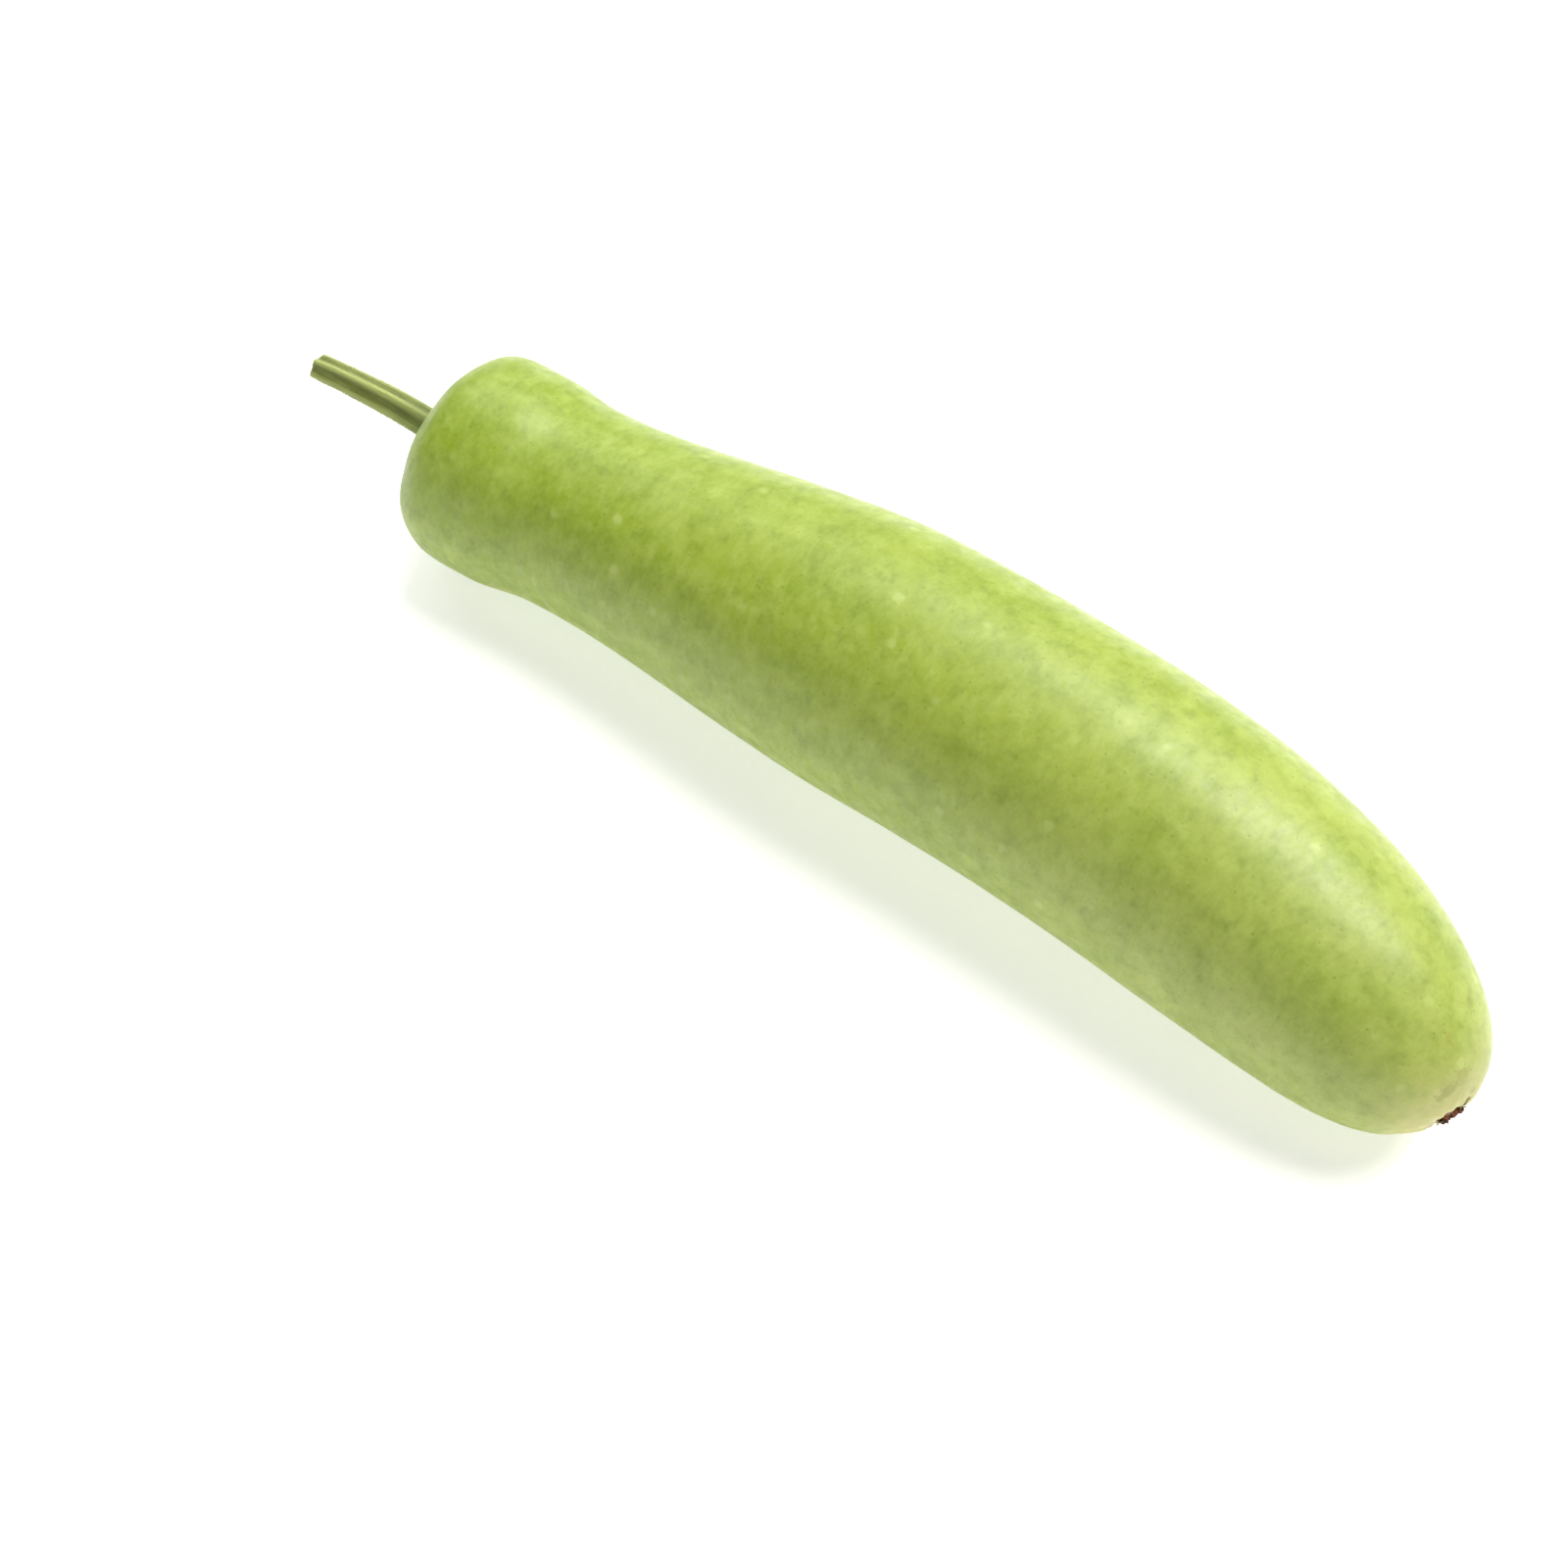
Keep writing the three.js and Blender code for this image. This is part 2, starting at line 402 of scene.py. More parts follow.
# The skin puckers round the dried blossom: a low ring with fine wrinkles running inwards.
ring = ring_round_end(pucker_rises, pucker_fades, pucker_dip)
wander = r.product(r.clouds(grown, wrinkle_wander_grain), wrinkle_wander)
wrinkle_wave = r.sum("COSINE", r.sum("MULTIPLY_ADD", turn, wrinkle_count, wander))
wrinkles = r.product(wrinkle_wave, r.eased(off_axis, *wrinkles_fade, wrinkle_height, 0.0))
near_blossom = r.eased(to_blossom, *pucker_ends, 1.0, 0.0)
pucker = r.product(r.sum("ADD", ring, wrinkles), given["Pucker"], near_blossom)
mesh = raised(r, mesh, r.total(swelling, flutes, dents, ripples, collar, pucker))
finish_recipe(r, mesh, given["Skin"])
print("the fruit's recipe has", len(r.tree.nodes), "steps")

# %% [markdown]
# ## Coming to rest
# The gourd lies on its side, rolled and tipped until it touches the surface near its
# shoulder, under its belly and towards its blossom end, and it is a little flat where it
# touches. The smooth fruit, grown without its relief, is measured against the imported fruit
# to find where the whole plant has to be moved. The same move then serves every piece.

# %% Finding the place at rest
bow_roll = math.radians(41)
tip = math.radians(1.2)
turned = Matrix.Rotation(tip, 4, "Y") @ Matrix.Rotation(bow_roll, 4, "X")
skin = bpy.data.materials.new("gourd_skin")
relief_names = ("Swelling", "Flutes", "Dents", "Ripples", "Collar", "Pucker")
no_relief = dict.fromkeys(relief_names, 0.0)
smooth = grown_mesh(fruit_recipe, {**fruit_sizes, **no_relief, "Skin": skin})
smooth.transform(turned)
smooth_low, smooth_high = corners(smooth)
packed_low, packed_high = (np.array(corner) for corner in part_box("fruit"))
place = (packed_low + packed_high - smooth_low - smooth_high) / 2
place[2] = packed_high[2] - smooth_high[2]
at_rest = Matrix.Translation(Vector(place)) @ turned
bpy.data.meshes.remove(smooth)
stem_end_place = at_rest @ line_ends["Stem End"]
print("the stem end's pole comes to", [round(part, 5) for part in stem_end_place])


def settled(mesh):
    """Lays a mesh down at rest; what would go through the surface becomes flat on it."""
    mesh.transform(at_rest)
    points = np.empty(len(mesh.vertices) * 3)
    mesh.vertices.foreach_get("co", points)
    points[2::3] = np.maximum(points[2::3], 0.0)
    mesh.vertices.foreach_set("co", points)
    mesh.update()
    return mesh


def piece(name, mesh):
    mesh.name = name
    made = bpy.data.objects.new(name, mesh)
    bpy.context.scene.collection.objects.link(made)
    low, high = corners(mesh)
    size = [round(float(side) / MM, 1) for side in high - low]
    print(name, "is", size, "mm, with", len(mesh.polygons), "faces")
    return made


# %% Growing the fruit
fruit = piece("gourd_fruit", settled(grown_mesh(fruit_recipe, {**fruit_sizes, "Skin": skin})))

# %% [markdown]
# ## The stem
# The stem is woody, with five ridges that run its whole length and fine fibres between them.
# It widens a little where it joins the fruit and was cut off square, so its end shows a ring
# of pale fibre round a soft, sunken pith. A cylinder gives rings to shape along its length
# and rings on its cut end. Short soft hairs stand all over it: they are one tiny spike,
# repeated over the surface by Geometry Nodes.

# %% The stem's sizes
joint_gap = 0.3 * MM
stem_length = 48.6 * MM
stem_sweep = Matrix.Rotation(math.radians(4.1), 3, "Z")
stem_base = line_ends["Stem End"] + stem_outward * joint_gap
stem_sizes = {
    "Base": stem_base,
    "Middle": stem_base + stem_outward * stem_length / 2,
    "Cut": stem_base + stem_sweep @ stem_outward * stem_length,
    "Length": stem_length,
    "Base Radius": 5.9 * MM,
    "Shaft Radius": 5.2 * MM,
    "Cut Radius": 4.5 * MM,
    "Flare Length": 7 * MM,
    "Ribs": 5.0,
    "Rib Depth": 1.0 * MM,
    "Rib Turn": math.radians(36),
    "Fibres": 0.13 * MM,
    "Gnarl": 0.22 * MM,
    "Pith Depth": 0.5 * MM,
    "Hair Length": 0.7 * MM,
    "Hairs per Square Metre": 9e5,
    "Seed": 7,
}
stem_sides, stem_rings, cut_rings, path_steps = 120, 150, 10, 60
print("the stem is", round(stem_length / MM, 1), "mm long")

# %% How the stem's relief is spread
rib_twist = 0.12  # radians, from the base to the cut
groove_fullness = 0.6  # below 1 makes the grooves wide and the ribs narrow
cut_rounding, cut_narrowing = 0.5 * MM, 0.93
fibre_grain, fibre_stretch = 0.16, 0.45  # grains are in shares of the stem's radius
gnarl_grain, gnarl_stretch = 0.55, 1.4
pith_edge = (0.16, 0.5)
saw_grain, saw_depth = 0.12, 0.1 * MM
face_begins = 0.9999  # of the way along
groove_shade_shows = (0.75, 0.98)  # of the way out, on the cut face
bare_end = 1 * MM
hair_width, hair_reach, hair_lean = 0.065 * MM, (0.5, 1.1), 0.55
print("the cut face's pith reaches", pith_edge[1], "of the way out")

# %% The stem's recipe
stem_recipe, given = shape_recipe("gourd_stem", stem_sizes, materials=("Stem",))
r = stem_recipe
path = r.step(
    "GeometryNodeCurveQuadraticBezier",
    {
        "Resolution": path_steps,
        "Start": given["Base"],
        "Middle": given["Middle"],
        "End": given["Cut"],
    },
).outputs[0]
rod_feeds = {"Vertices": stem_sides, "Side Segments": stem_rings, "Fill Segments": cut_rings}
rod_feeds.update({"Radius": 1.0, "Depth": 1.0})
rod = r.step("GeometryNodeMeshCylinder", rod_feeds, fill_type="TRIANGLE_FAN").outputs["Mesh"]
x, y, z = r.parts(r.here())
share = r.sum("ADD", z, 0.5)
out, turn = r.from_middle(x, y)
along = r.product(share, given["Length"])
shaft = r.eased(share, 0.0, 1.0, given["Shaft Radius"], given["Cut Radius"], kind="LINEAR")
flare_height = r.sum("SUBTRACT", given["Base Radius"], given["Shaft Radius"])
shaft = r.sum("ADD", shaft, r.eased(along, 0.0, given["Flare Length"], flare_height, 0.0))
to_cut = r.sum("SUBTRACT", given["Length"], along)
shaft = r.product(shaft, r.eased(to_cut, 0.0, cut_rounding, cut_narrowing, 1.0))

# %% Ribs, fibres and the cut face
rib_turn = r.sum("ADD", turn, r.sum("MULTIPLY_ADD", share, rib_twist, given["Rib Turn"]))
rib_wave = r.sum("COSINE", r.product(rib_turn, given["Ribs"]))
groove = r.sum("POWER", r.sum("MULTIPLY_ADD", rib_wave, -0.5, 0.5), groove_fullness)
drawn_in = r.product(groove, given["Rib Depth"])
round_place = r.joined(*r.on_circle(1.0, turn), r.product(share, gnarl_stretch))
fibre_place = r.joined(*r.on_circle(1.0, turn), r.product(share, fibre_stretch))
fibres = r.product(r.clouds(fibre_place, fibre_grain, detail=2.0), given["Fibres"])
gnarl = r.product(r.clouds(round_place, gnarl_grain, detail=1.0), given["Gnarl"])
rim = r.total(shaft, r.product(drawn_in, -1.0), fibres, gnarl)
radius = r.product(out, rim)
pith = r.product(r.eased(out, *pith_edge, 1.0, 0.0), given["Pith Depth"])
rough = r.product(r.clouds(r.joined(x, y, 0.0), saw_grain), saw_depth)
on_cut = r.eased(share, face_begins, 1.0, kind="LINEAR")
face = r.product(r.sum("SUBTRACT", rough, pith), on_cut)
straight_point = r.joined(*r.on_circle(radius, turn), r.sum("ADD", along, face))
# How deep each point lies in a groove, kept for the finish, which paints the grooves darker as
# painted shade.
groove_shade_mask = r.product(groove, r.eased(out, *groove_shade_shows))
mesh = remember(r, rod, "groove", groove_shade_mask, kind="FLOAT")
mesh = remember(r, mesh, "grown", straight_point)
moved = {"Geometry": mesh, "Position": r.kept("grown")}
mesh = r.step("GeometryNodeSetPosition", moved).outputs[0]
mesh = lay_along(r, mesh, path)

# %% The stem's hairs
grown_z = r.parts(r.kept("grown"))["Z"]
shaft_end = r.sum("SUBTRACT", given["Length"], bare_end)
haired = r.step(
    "FunctionNodeCompare", {"A": grown_z, "B": shaft_end}, data_type="FLOAT", operation="LESS_THAN"
).outputs[0]
root_feeds = {"Mesh": mesh, "Selection": haired, "Seed": given["Seed"]}
root_feeds["Density"] = given["Hairs per Square Metre"]
roots = r.step(
    "GeometryNodeDistributePointsOnFaces", root_feeds, distribute_method="RANDOM"
).outputs
lean_range = Vector((hair_lean, hair_lean, 0.0))
lean = r.chosen(-lean_range, lean_range, given["Seed"], kind="FLOAT_VECTOR")
facing = r.step(
    "FunctionNodeRotateRotation",
    {"Rotation": roots["Rotation"], "Rotate By": lean},
    rotation_space="LOCAL",
).outputs[0]
hair_length = r.product(r.chosen(*hair_reach, given["Seed"]), given["Hair Length"])
spike_feeds = {"Vertices": 3, "Side Segments": 1, "Fill Segments": 1}
spike_feeds.update({"Radius Top": 0.0, "Radius Bottom": 1.0, "Depth": 1.0})
spike = r.step("GeometryNodeMeshCone", spike_feeds, fill_type="NGON").outputs["Mesh"]
hairs = r.step(
    "GeometryNodeInstanceOnPoints",
    {
        "Points": roots["Points"],
        "Instance": spike,
        "Rotation": facing,
        "Scale": r.joined(hair_width, hair_width, hair_length),
    },
).outputs[0]
both = r.step("GeometryNodeJoinGeometry")
r.feed(both.inputs[0], mesh)
r.feed(both.inputs[0], hairs)
finish_recipe(r, both.outputs[0], given["Stem"])
print("the stem's recipe has", len(r.tree.nodes), "steps")

# %% Growing the stem
stem_wood = bpy.data.materials.new("green_stem")
stem = piece("gourd_stem", settled(grown_mesh(stem_recipe, {**stem_sizes, "Stem": stem_wood})))

# %% [markdown]
# ## The dried blossom
# The flower dried where it stood, at the far end of the fruit. What is left is a low, dark,
# ragged ring, hollow in the middle, with the shrivelled feet of its petals. Two curves give
# the ring's section; coarse and fine clouds crumple it. The petal feet are one small curled
# flake, set round the ring many times, each leaning and sized at random, and then crumpled
# together so that no two stay alike. One longer flake of the same make is the withered
# style, the thread that stood in the middle of the flower; it hangs down over the skin.

# %% The blossom scar's sizes
scar_base = line_ends["Blossom End"] + blossom_outward * joint_gap
scar_sizes = {
    "Base": scar_base,
    "Tip": scar_base + blossom_outward * 2.3 * MM,
    "Radius": 3.9 * MM,
    "Height": 2.1 * MM,
    "Set In": Vector((0.5, -0.95, -0.9)) * MM,
    "Crumple": 1.0 * MM,
    "Flakes": 34,
    "Flake Length": 2.0 * MM,
    "Flake Width": 1.9 * MM,
    "Style Length": 5.2 * MM,
    "Seed": 11,
}
# The ring's section, from its base, over its rim and down to the floor of its hollow.
scar_steps = (0, 0.2, 0.38, 0.52, 0.66, 0.76, 0.9, 1)
scar_out = (0, 0.8, 1, 0.95, 0.75, 0.55, 0.25, 0)
scar_up = (0, 0, 0.35, 0.75, 1, 0.8, 0.45, 0.45)
golden_turn = math.pi * (3 - math.sqrt(5))
print("the dried blossom has", scar_sizes["Flakes"], "petal feet")

# %% How the dried blossom is spread
scar_sides, scar_rings = 110, 60
petal_lobes, petal_lobe_depth, petal_lobe_middle = 5.0, 0.07, 0.93
rag_grain, rag_height = 0.35, 0.6
flake_thinness, flake_curl = 0.22, 0.45
flake_chances = {  # lowest, highest, and the number of its own random stream
    "out": (0.3, 0.95, 1),
    "up": (0.1, 0.6, 2),
    "lean": (0.2, 1.4, 3),
    "turn": (-0.7, 0.7, 4),
    "thickness": (0.6, 1.1, 5),
    "width": (0.5, 1.2, 6),
    "length": (0.45, 1.0, 7),
}
style_heading, style_lean = math.radians(-62), 1.6
style_out, style_up = 3.6 * MM, 1.3 * MM
style_thickness, style_width = 1.9 * MM, 1.7 * MM
crumple_grain = 1.6 * MM
print("the style sets out", round(style_out / MM, 1), "mm from the middle")

# %% The ring's recipe
scar_recipe, given = shape_recipe("gourd_scar", scar_sizes, materials=("Scar",))
r = scar_recipe
path_feeds = {"Start": given["Base"], "End": given["Tip"]}
path = r.step("GeometryNodeCurvePrimitiveLine", path_feeds).outputs[0]
ball_feeds = {"Segments": scar_sides, "Rings": scar_rings, "Radius": 1.0}
ball = r.step("GeometryNodeMeshUVSphere", ball_feeds).outputs[0]
x, y, z = r.parts(r.here())
turn = r.sum("ARCTAN2", y, x)
share = r.sum("DIVIDE", r.latitude(z), math.pi)


def section(heights, value):
    """A drawn curve that has these heights at the steps of the ring's section."""
    node = r.step("ShaderNodeFloatCurve")
    curve = node.mapping.curves[0]
    first, *middle, last = zip(scar_steps, heights)
    curve.points[0].location = first
    curve.points[-1].location = last
    for point in middle:
        curve.points.new(*point)
    node.mapping.update()
    r.feed(node.inputs["Value"], value)
    return node.outputs[0]


lobe_wave = r.sum("COSINE", r.product(turn, petal_lobes))
lobes = r.sum("MULTIPLY_ADD", lobe_wave, petal_lobe_depth, petal_lobe_middle)
radius = r.product(section(scar_out, share), given["Radius"], lobes)
rim_place = r.joined(*r.on_circle(1.0, turn), 0.0)
ragged = r.sum("MULTIPLY_ADD", r.clouds(rim_place, rag_grain, detail=3.0), rag_height, 1.0)
height = r.product(section(scar_up, share), given["Height"], ragged)
ring_point = r.joined(*r.on_circle(radius, turn), height)
ring = r.step("GeometryNodeSetPosition", {"Geometry": ball, "Position": ring_point}).outputs[0]

# %% One petal foot
flake_feeds = {"Vertices": 6, "Side Segments": 5, "Fill Segments": 1}
flake_feeds.update({"Radius Top": 0.3, "Radius Bottom": 0.5, "Depth": 1.0})
flake = r.step("GeometryNodeMeshCone", flake_feeds, fill_type="NGON").outputs["Mesh"]
x, y, z = r.parts(r.here())
curl = r.product(z, z, flake_curl)
flake_point = r.joined(r.sum("ADD", r.product(x, flake_thinness), curl), y, z)
flake_feeds = {"Geometry": flake, "Position": flake_point}
flake = r.step("GeometryNodeSetPosition", flake_feeds).outputs[0]


def chance(what):
    """A random number for each flake, drawn from its own stream."""
    low, high, stream = flake_chances[what]
    return r.chosen(low, high, r.sum("ADD", given["Seed"], float(stream)))


# %% The petal feet round the ring
number = r.step("GeometryNodeInputIndex").outputs[0]
heading = r.product(number, golden_turn)
foot_out = r.product(chance("out"), given["Radius"])
foot_up = r.product(chance("up"), given["Height"])
feet_at = r.joined(*r.on_circle(foot_out, heading), foot_up)
feet_feeds = {"Count": given["Flakes"], "Position": feet_at}
feet = r.step("GeometryNodePoints", feet_feeds).outputs[0]
leaning = r.joined(0.0, chance("lean"), r.sum("ADD", heading, chance("turn")))
flake_scale = r.joined(
    r.product(chance("thickness"), given["Flake Width"]),
    r.product(chance("width"), given["Flake Width"]),
    r.product(chance("length"), given["Flake Length"]),
)
flakes = r.step(
    "GeometryNodeInstanceOnPoints",
    {"Points": feet, "Instance": flake, "Rotation": leaning, "Scale": flake_scale},
).outputs[0]
flakes = r.step("GeometryNodeRealizeInstances", {"Geometry": flakes}).outputs[0]

# %% The withered style, and the crumpling of it all
style_x, style_y = math.cos(style_heading), math.sin(style_heading)
style = r.step(
    "GeometryNodeTransform",
    {
        "Geometry": flake,
        "Translation": Vector((style_out * style_x, style_out * style_y, style_up)),
        "Rotation": Vector((0.0, style_lean, style_heading)),
        "Scale": r.joined(style_thickness, style_width, given["Style Length"]),
    },
).outputs[0]
both = r.step("GeometryNodeJoinGeometry")
for grown_part in (ring, flakes, style):
    r.feed(both.inputs[0], grown_part)
mesh = remember(r, both.outputs[0], "grown", r.here())
fog_feeds = {"Vector": r.here(), "Scale": 1 / crumple_grain, "Detail": 3.0}
fog = r.step("ShaderNodeTexNoise", fog_feeds).outputs["Color"]
push = r.vector("SUBTRACT", fog, Vector((0.5, 0.5, 0.5)))
push = r.vector("SCALE", push, scale=given["Crumple"])
push = r.vector("SCALE", push, scale=2.0)
push = r.vector("ADD", push, given["Set In"])
mesh = r.step("GeometryNodeSetPosition", {"Geometry": mesh, "Offset": push}).outputs[0]
mesh = lay_along(r, mesh, path)
finish_recipe(r, mesh, given["Scar"])
print("the scar's recipe has", len(r.tree.nodes), "steps")

# %% Growing the blossom scar
dried = bpy.data.materials.new("dried_blossom")
scar = piece("gourd_blossom_scar", settled(grown_mesh(scar_recipe, {**scar_sizes, "Scar": dried})))

# %% [markdown]
# ## Finishes
# All three finishes are painted by nodes on the straightened shape that each piece
# remembers as "grown", so the patterns bend with the gourd. Both the skin and the stem show
# the same thing close up: fine pale and dark flecks. That effect is one shared node group,
# placed in each material with its own colours and grain.

# %% Colours and shared helpers
def colour(code):
    """A colour from its usual six-digit code, as linear light."""
    channels = [int(code[start : start + 2], 16) / 255 for start in (0, 2, 4)]
    linear = [c / 12.92 if c <= 0.04045 else ((c + 0.055) / 1.055) ** 2.4 for c in channels]
    return (*linear, 1.0)


def material_recipe(material):
    material.use_nodes = True
    material.node_tree.nodes.clear()
    return Recipe(material.node_tree)


def mixed(recipe, share, first, second, blend_type="MIX"):
    feeds = {"Factor": share, "A": first, "B": second}
    node = recipe.step("ShaderNodeMix", feeds, data_type="RGBA", blend_type=blend_type)
    return find(node.outputs, "Result")


def remembered(recipe, name, output="Vector"):
    return recipe.step("ShaderNodeAttribute", attribute_name=name).outputs[output]


def off_middle(recipe, grown):
    """How far a place on the straightened shape is from the middle line."""
    flat = recipe.vector("MULTIPLY", grown, Vector((1, 1, 0)))
    return recipe.vector("LENGTH", flat)


def coated(recipe, feeds):
    """The shader of a finish, and the end of its recipe."""
    shader = recipe.step("ShaderNodeBsdfPrincipled", feeds)
    recipe.step("ShaderNodeOutputMaterial", {"Surface": shader.outputs[0]})
    print("this finish takes", len(recipe.tree.nodes), "steps")


# %% The shared fleck group
flecks_tree = bpy.data.node_groups.new("flecks", "ShaderNodeTree")
for label, kind, value in (
    ("Colour", "NodeSocketColor", (1, 1, 1, 1)),
    ("Place", "NodeSocketVector", (0, 0, 0)),
    ("Pale", "NodeSocketColor", (1, 1, 1, 1)),
    ("Dark", "NodeSocketColor", (0, 0, 0, 1)),
    ("Grain", "NodeSocketFloat", 1 * MM),
    ("Strength", "NodeSocketFloat", 0.5),
):
    socket = flecks_tree.interface.new_socket(label, in_out="INPUT", socket_type=kind)
    socket.default_value = value
flecks_tree.interface.new_socket("Colour", in_out="OUTPUT", socket_type="NodeSocketColor")
flecks_tree.interface.new_socket("Height", in_out="OUTPUT", socket_type="NodeSocketFloat")
r = Recipe(flecks_tree)
given = r.step("NodeGroupInput").outputs
place_in_grains = r.vector("SCALE", given["Place"], scale=r.sum("DIVIDE", 1.0, given["Grain"]))
another_place = Vector((31.0, 17.0, 5.0))
soft = r.clouds(place_in_grains, 1.0, detail=3.0, roughness=0.6)
fine = r.clouds(r.vector("ADD", place_in_grains, another_place), 0.8)
pale_share = r.product(r.eased(soft, -0.25, 0.55), given["Strength"])
dark_share = r.product(r.eased(fine, -0.15, 0.75), given["Strength"])
flecked = mixed(r, pale_share, given["Colour"], given["Pale"])
flecked = mixed(r, dark_share, flecked, given["Dark"])
r.step("NodeGroupOutput", {"Colour": flecked, "Height": r.sum("SUBTRACT", soft, fine)})
print("the shared fleck group has", len(flecks_tree.nodes), "steps")


def flecks(recipe, base, place, pale, dark, grain, strength):
    feeds = {"Colour": base, "Place": place, "Pale": pale, "Dark": dark}
    feeds.update({"Grain": grain, "Strength": strength})
    group = recipe.step("ShaderNodeGroup", feeds, node_tree=flecks_tree)
    return group.outputs["Colour"], group.outputs["Height"]


# %% [markdown]
# ## The skin
# A young bottle gourd's skin is smooth and waxy, a fresh yellow-green that is deeper towards
# the stem and paler towards the blossom. Under the wax it is finely mottled, with scattered
# tiny pores, and the tender blossom end carries a few healed scuffs and a tan stain round
# the scar.

# %% The skin's colours
skin_green = colour("91A32F")
shoulder_green = colour("869D22")
blossom_green = colour("A5B054")
deep_green = colour("778D1C")
pale_fleck = colour("A7B854")
dark_fleck = colour("6E801C")
pale_spot = colour("C2CF7C")
tan_stain = colour("C5BA70")
scuff_olive = colour("8C8A3A")
pink_stain = colour("C79A7C")
fruit_length = 363 * MM
print("the body's green, as linear light, is", [round(part, 3) for part in skin_green[:3]])

# %% How the skin's marks are spread
patch_grain, patch_strength = 26 * MM, 0.55
mottling = (7 * MM, 0.6)  # each is a grain and a strength
streaks = (2.6 * MM, 0.32)
specks = (1.3 * MM, 0.2)
streak_stretch = Vector((0.55, 0.55, 1.1))  # longer round the fruit than along it
pore_spacing, pore_strength = 3.4 * MM, 0.4
spot_spacing, spot_strength = 15 * MM, 0.3
spot_rag_grain, spot_rag = 2.0 * MM, 0.05
stain_rag = 5 * MM
stain_fades, stain_strength = (5 * MM, 27 * MM), 0.75
blotch_rag_grain, blotch_rag = 1.6 * MM, 1.1
healed_marks = (  # centre and size in mm on the straightened fruit, colour, strength
    ((12.6, -12.6, 357.8), (3.0, 3.0, 3.6), scuff_olive, 0.4),
    ((14.4, -6.8, 359.2), (2.8, 3.6, 2.0), scuff_olive, 0.6),
    ((17.9, -16.8, 349.3), (1.4, 1.4, 1.8), scuff_olive, 0.35),
    ((9.2, -25.6, 344.3), (1.8, 2.0, 2.0), scuff_olive, 0.45),
    ((5.1, -10.8, 361.6), (1.6, 2.0, 1.2), scuff_olive, 0.6),
    ((-3.7, 5.5, 362.9), (4.0, 3.4, 2.0), pink_stain, 0.5),
    ((-20.0, 18.0, 352.0), (4.5, 3.0, 5.0), scuff_olive, 0.45),
    ((8.0, 29.5, 40.0), (3.0, 4.0, 6.0), tan_stain, 0.35),
)
print("the skin carries", len(healed_marks), "healed marks")


def cells(recipe, grown, spacing):
    """The distance to the nearest of many scattered points, as a share of their spacing."""
    feeds = {"Vector": grown, "Scale": 1 / spacing, "Randomness": 1.0}
    return recipe.step("ShaderNodeTexVoronoi", feeds).outputs["Distance"]


def blotch(recipe, tint, grown, centre, size, mark, strength):
    """One healed mark with a ragged, soft edge, at a place on the straightened fruit."""
    offset = recipe.vector("SUBTRACT", grown, Vector(centre) * MM)
    reach = recipe.vector("LENGTH", recipe.vector("DIVIDE", offset, Vector(size) * MM))
    rag = recipe.clouds(grown, blotch_rag_grain, detail=3.0)
    ragged = recipe.sum("MULTIPLY_ADD", rag, blotch_rag, reach)
    return mixed(recipe, recipe.eased(ragged, 0.4, 1.2, strength, 0.0), tint, mark)


# %% The skin's base colour and mottling
r = material_recipe(skin)
grown = remembered(r, "grown")
grown_z = r.parts(grown)["Z"]
to_blossom_end = r.eased(grown_z, 0.4 * fruit_length, fruit_length)
from_stem_end = r.eased(grown_z, 0.0, 0.42 * fruit_length, 1.0, 0.0)
tint = mixed(r, from_stem_end, skin_green, shoulder_green)
tint = mixed(r, to_blossom_end, tint, blossom_green)
patch_clouds = r.clouds(grown, patch_grain, detail=3.0, roughness=0.6)
tint = mixed(r, r.eased(patch_clouds, -0.35, 0.45, 0.0, patch_strength), tint, deep_green)
# Three sizes of mottling; the streaks run round the fruit, not along it.
streaked = r.vector("MULTIPLY", grown, streak_stretch)
tint, _ = flecks(r, tint, grown, pale_fleck, dark_fleck, *mottling)
tint, streak_height = flecks(r, tint, streaked, pale_fleck, dark_fleck, *streaks)
tint, speck_height = flecks(r, tint, grown, pale_fleck, dark_fleck, *specks)

# %% Pores, pale spots and healed marks
pores = r.eased(cells(r, grown, pore_spacing), 0.07, 0.16, 1.0, 0.0)
tint = mixed(r, r.product(pores, pore_strength), tint, dark_fleck)
spot_rags = r.clouds(grown, spot_rag_grain)
spot_edge = r.sum("MULTIPLY_ADD", spot_rags, spot_rag, cells(r, grown, spot_spacing))
tint = mixed(r, r.eased(spot_edge, 0.05, 0.15, spot_strength, 0.0), tint, pale_spot)
at_blossom = r.eased(grown_z, 0.93 * fruit_length, 0.97 * fruit_length)
stain_clouds = r.clouds(grown, stain_rag, detail=3.0)
stained = r.sum("MULTIPLY_ADD", stain_clouds, stain_rag, off_middle(r, grown))
stain_share = r.product(r.eased(stained, *stain_fades, stain_strength, 0.0), at_blossom)
tint = mixed(r, stain_share, tint, tan_stain)
for centre, size, mark, strength in healed_marks:
    tint = blotch(r, tint, grown, centre, size, mark, strength)

# %% The skin's gloss
wax_grain, dullness = 3.5 * MM, (0.36, 0.52)
bump_height = r.total(
    r.product(speck_height, 0.4), r.product(streak_height, 0.3), r.product(pores, -0.8)
)
bump = r.step("ShaderNodeBump", {"Height": bump_height, "Strength": 0.35, "Distance": 0.07 * MM})
wax = r.clouds(streaked, wax_grain, detail=4.0, roughness=0.6)
roughness = r.eased(wax, -0.4, 0.4, *dullness)
skin_feeds = {"Base Color": tint, "Roughness": roughness, "Normal": bump.outputs[0]}
coated(r, {**skin_feeds, "IOR": 1.52})
